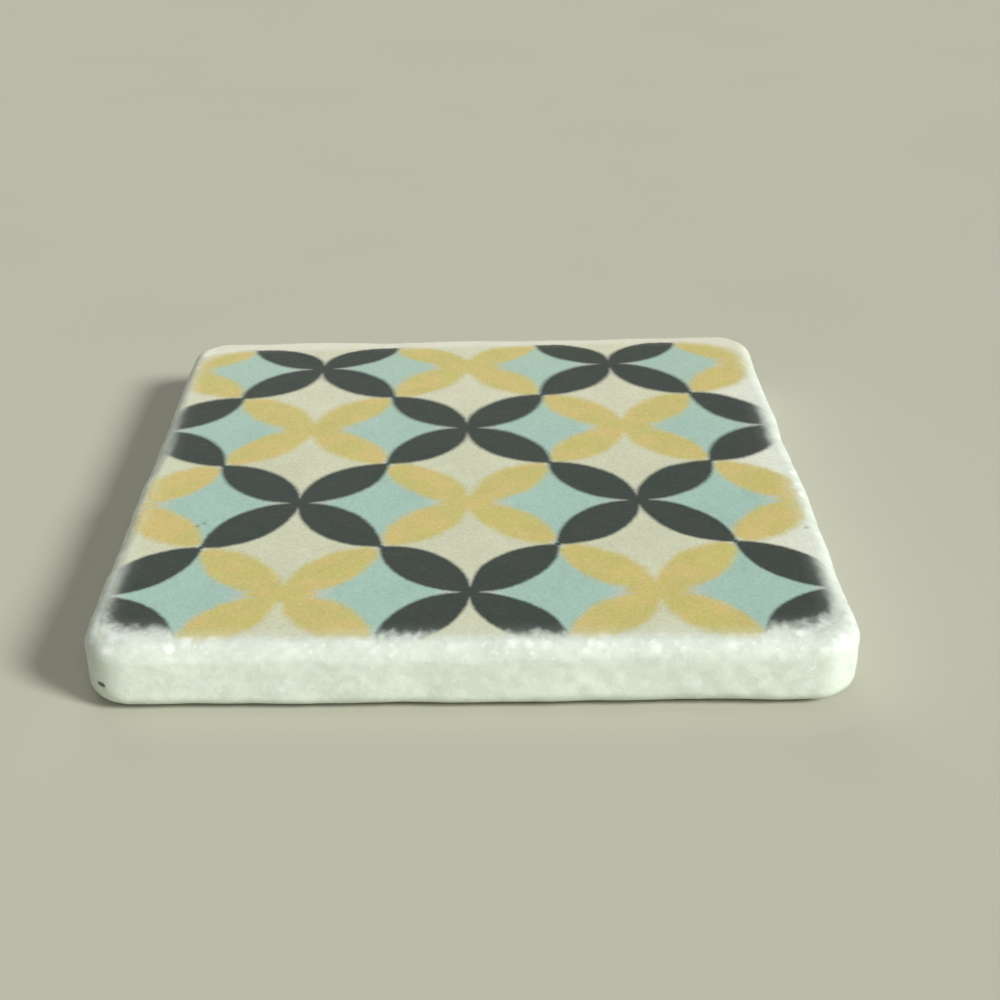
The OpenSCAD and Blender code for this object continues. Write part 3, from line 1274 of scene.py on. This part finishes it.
# The pit's dark colour is painted shade; the bump gives only its hollow.
pit_share, pit_shade_colour, pit_depth = 0.85, colour(62, 62, 50), 5.0
saw_turn = math.radians(8)
stone_bump, ink_bump, cork_bump = 0.04, 0.05, 0.06
away = vector_calc("MULTIPLY", vector_calc("SUBTRACT", place, pit_middle), pit_flatness)
pit_way = vector_calc("LENGTH", bend(away, 0.3, 0.3), output="Value")
pit = near(pit_way, pit_r, pit_border)
below = near(up, under_z + 0.02, under_z + 0.1)
slanting = wire_from("ShaderNodeMapping", {"Vector": place, "Rotation": (0, 0, saw_turn)})
saw_values = {"Vector": slanting, "Scale": 0.25, "Distortion": 1.5, "Detail": 3.0}
saw = wire_from("ShaderNodeTexWave", saw_values, "Fac")
set_inputs(shader, {
    "Base Color": blend(pit_share * pit, stained, pit_shade_colour),
    "Roughness": grain["Roughness"],
    "Normal": bump(grain["Height"] + 0.8 * saw * below - pit_depth * pit, stone_bump),
    **satin,
})
set_material(marble_tile, marble)

# %% [markdown]
# Each ink lies on the stone as its own film, whose relief follows the crystals below it. The films
# differ only in how glossy they are: charcoal, which holds the most pigment, is the most matt.

# %% The four inks
def ink_material(name, gloss, roughness):
    """Ink over marble: the print's colour and roughness where ink is left, the stone's elsewhere."""
    material, shader, place = new_material(name)
    grain = place_group(marble_grain, {"Place": place, "Bruises": edge_shade_glints})
    printed, cover = printed_colour(place, coated(place, grain["Color"]))
    set_inputs(shader, {
        **satin,
        "Base Color": printed,
        "Roughness": grain["Roughness"] + cover * (roughness - grain["Roughness"]),
        "Specular IOR Level": gloss,
        "Normal": bump(grain["Height"], ink_bump),
    })
    return material


set_material(cream_print, ink_material("cream_ink", 0.2, 0.6))
set_material(aqua_print, ink_material("aqua_ink", 0.2, 0.58))
set_material(mustard_print, ink_material("mustard_ink", 0.2, 0.6))
set_material(charcoal_print, ink_material("charcoal_ink", 0.05, 0.58))

# %% [markdown]
# Cork is made of pressed granules, some pale and some nearly as dark as bark, with dark gaps between
# them. Cells give the granules: each takes a brown between two by its own number, and the places
# where two cells meet are the gaps.

# %% Cork
granule_size = 1.1
cork, shader, place = new_material("pressed_cork")
granule = random_number(cells(place, granule_size), "Red")
grainy = 0.75 * granule + 0.5 * noise(place, 0.3, 3.0, 0.7)
browns = blend(soft_step(grainy, 0.2, 0.95), colour(142, 98, 62), colour(206, 165, 118))
borders = cells(place, granule_size, feature="DISTANCE_TO_EDGE")
gap = near(borders["Distance"], 0.0, 0.09)
set_inputs(shader, {
    "Base Color": blend(0.75 * gap, browns, colour(70, 44, 28)),
    "Roughness": 0.85,
    "Normal": bump(grainy - gap, cork_bump),
})
for pad in cork_pads:
    set_material(pad, cork)

# %% [markdown]
# The discs of adhesive are simple, thin and mostly out of sight, so the CAD nodes stay and only get
# a finish: a pale film, slightly glossy, with a little cloudiness.

# %% Adhesive
adhesive, shader, place = new_material("adhesive_film")
cloudy = blend(noise(place, 1.5, 3.0), colour(214, 196, 150), colour(232, 222, 190))
set_inputs(shader, {"Base Color": cloudy, "Roughness": 0.3})
for side in pad_sides:
    set_material(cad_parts["adhesive_" + side], adhesive)

# %% [markdown]
# ## Floor, light and camera
#
# The coaster stands on a plain pale floor that runs far past the picture. The world gives only a
# weak light, but what the camera and reflections see of it has the floor's colour, so that a low
# view has no hard horizon. The Light Path node tells the two apart.

# %% Floor and world
floor_half = 3.0
floor_signs = [(-1, -1), (1, -1), (1, 1), (-1, 1)]
floor_corners = [(across * floor_half, back * floor_half, 0) for across, back in floor_signs]
floor_mesh = bpy.data.meshes.new("floor")
floor_mesh.from_pydata(floor_corners, [], [(0, 1, 2, 3)])
floor = bpy.data.objects.new("floor", floor_mesh)
bpy.context.scene.collection.objects.link(floor)
floor_colour = colour(187, 187, 170)
floor_paint, shader, place = new_material("floor_paint")
mottled = blend(noise(place, 60.0), floor_colour, colour(192, 191, 175))
set_inputs(shader, {"Base Color": mottled, "Roughness": 1.0, "Specular IOR Level": 0.0})
set_material(floor, floor_paint)

sky_level = 0.12
sky_light = (sky_level, 0.98 * sky_level, 0.97 * sky_level, 1.0)
world = bpy.data.worlds.new("studio")
world.use_nodes = True
bpy.context.scene.world = world
rays = wires(add_node(world.node_tree, "ShaderNodeLightPath"))
mirrored = larger(rays["Is Glossy Ray"], rays["Is Transmission Ray"])
seen = larger(rays["Is Camera Ray"], mirrored)
set_inputs(world.node_tree.nodes["Background"], {"Color": blend(seen, sky_light, floor_colour)})

# %% [markdown]
# The main light comes from the right, a little to the front and low enough to draw a soft shadow
# to the left of the coaster. Two weak lights, from above the camera and from behind the coaster,
# keep the front face clear and give the ink a slight sheen. All three are very far away, so the
# whole floor is lit alike. Together with the world they light a flat surface at nearly 1, so colours
# look as they are written.

# %% Lights
def far_light(name, height_angle, turn_angle, spread, level):
    """Light from far away, so many degrees above the floor and turned so many degrees from the
    right towards the rear, that looks so many degrees wide. A lamp's strength is pi times the
    level at which it lights a surface that faces it, and a flat one gets the sine of that."""
    height, turn = math.radians(height_angle), math.radians(turn_angle)
    way = (math.cos(height) * math.cos(turn), math.cos(height) * math.sin(turn), math.sin(height))
    lamp = bpy.data.lights.new(name, "SUN")
    lamp.angle, lamp.energy = math.radians(spread), math.pi * level / math.sin(height)
    holder = bpy.data.objects.new(name, lamp)
    holder.location = way
    holder.rotation_euler = (-holder.location).to_track_quat("-Z", "Y").to_euler()
    bpy.context.scene.collection.objects.link(holder)
    print(name, "lights a flat surface at", level)


far_light("window", 33, -30, 16, 0.59)
far_light("front_fill", 44, -82, 36, 0.15)
far_light("rear_fill", 33, 100, 42, 0.11)

# %% [markdown]
# The camera stands where the photograph was taken from, which was worked out from the crossings of
# the pattern and the outline of the tile. It is given by its place, the point on the floor that it
# looks at and a very slight tilt of its horizon.

# %% Camera
camera_place = Vector((0.93, -210.14, 117.76)) * MM
camera_aim = Vector((4.20, 6.63, 0.0)) * MM
camera_tilt = math.radians(0.106)
camera_data = bpy.data.cameras.new("camera")
camera_data.sensor_width = 36.0
camera_data.lens = 55.06
camera_data.clip_start = 0.01
camera = bpy.data.objects.new("camera", camera_data)
look = (camera_aim - camera_place).to_track_quat("-Z", "Y").to_matrix().to_4x4()
camera.matrix_world = Matrix.Translation(camera_place) @ look @ Matrix.Rotation(camera_tilt, 4, "Z")
bpy.context.scene.collection.objects.link(camera)
bpy.context.scene.camera = camera
print("The camera is", round((camera_aim - camera_place).length / MM), "mm from what it looks at")

# %% [markdown]
# ## Finish
#
# The colours are shown as they are.

# %% Finish
bpy.context.scene.view_settings.view_transform = "Standard"
bpy.context.view_layer.update()
